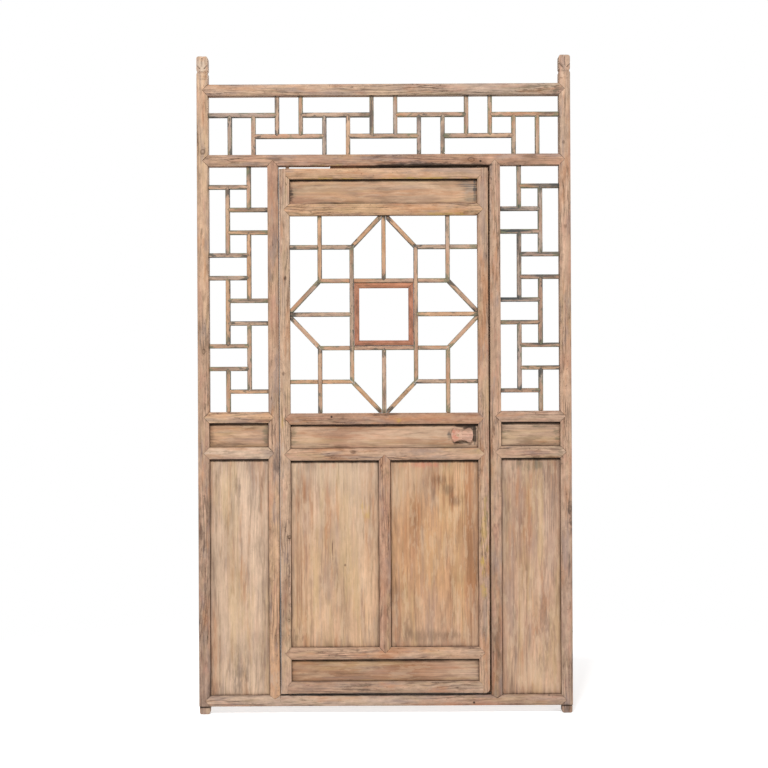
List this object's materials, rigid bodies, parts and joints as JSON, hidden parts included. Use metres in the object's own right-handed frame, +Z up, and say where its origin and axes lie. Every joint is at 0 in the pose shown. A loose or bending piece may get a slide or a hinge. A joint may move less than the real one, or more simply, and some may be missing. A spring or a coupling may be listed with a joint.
{
  "type": "single-leaf lattice door with frame",
  "caption": "Weathered wooden lattice door in its frame: meander transom and side lights, panelled leaf with a star lattice that swings on wooden pivots, and a sliding wooden bolt.",
  "frame": {"origin": "on the floor under the middle of the frame, at mid-depth of the posts", "axes": "+X to the right seen from the front, +Y to the back (the leaf opens that way), +Z up"},
  "size_m": [1.38, 0.05, 2.43],
  "materials": {
    "frame_wood": "bare weathered softwood, matte, with traces of old paint",
    "leaf_wood": "bare weathered softwood, matte, with traces of old paint",
    "panel_wood": "bare weathered softwood, matte, with traces of old paint",
    "lattice_wood": "bare weathered softwood, matte, with traces of old paint",
    "window_wood": "worn red-brown stain, matte",
    "latch_wood": "bare wood, polished by hands"
  },
  "bodies": {
    "frame": {"left_post": "frame_wood", "right_post": "frame_wood", "top_rail": "frame_wood", "transom_rail": "frame_wood", "sill": "frame_wood", "left_jamb": "frame_wood", "right_jamb": "frame_wood", "left_upper_side_rail": "frame_wood", "left_lower_side_rail": "frame_wood", "right_upper_side_rail": "frame_wood", "right_lower_side_rail": "frame_wood", "left_small_panel": "panel_wood", "left_large_panel": "panel_wood", "right_small_panel": "panel_wood", "right_large_panel": "panel_wood", "transom_upper_runs": "lattice_wood", "transom_lower_runs": "lattice_wood", "transom_standing_bars": "lattice_wood", "transom_hanging_bars": "lattice_wood", "left_lattice_post_runs": "lattice_wood", "left_lattice_jamb_runs": "lattice_wood", "left_lattice_jamb_bars": "lattice_wood", "left_lattice_post_bars": "lattice_wood", "right_lattice_post_runs": "lattice_wood", "right_lattice_jamb_runs": "lattice_wood", "right_lattice_jamb_bars": "lattice_wood", "right_lattice_post_bars": "lattice_wood"},
    "leaf": {"hinge_stile": "leaf_wood", "latch_stile": "leaf_wood", "leaf_top_rail": "leaf_wood", "frieze_rail": "leaf_wood", "upper_lock_rail": "leaf_wood", "lower_lock_rail": "leaf_wood", "base_rail": "leaf_wood", "bottom_rail": "leaf_wood", "mullion": "leaf_wood", "frieze_panel": "panel_wood", "lock_panel": "panel_wood", "left_door_panel": "panel_wood", "right_door_panel": "panel_wood", "base_panel": "panel_wood", "star_long_uprights": "lattice_wood", "star_long_crossbars": "lattice_wood", "star_top_bars": "lattice_wood", "star_bottom_bars": "lattice_wood", "star_left_bars": "lattice_wood", "star_right_bars": "lattice_wood", "star_rising_diagonals": "lattice_wood", "star_falling_diagonals": "lattice_wood", "window_top": "window_wood", "window_bottom": "window_wood", "window_left": "window_wood", "window_right": "window_wood", "bolt_guide": "latch_wood"},
    "bolt": {"latch_pull": "latch_wood", "latch_bolt": "latch_wood", "latch_peg": "latch_wood"}
  },
  "joints": [
    {"name": "leaf_hinge", "type": "hinge", "parent": "frame", "child": "leaf", "pos_m": [-0.3565, -0.004, 0], "axis": [0, 0, 1], "range_deg": [0, 90]},
    {"name": "bolt_slide", "type": "slide", "parent": "leaf", "child": "bolt", "axis": [1, 0, 0], "range_m": [0, 0.014]}
  ]
}
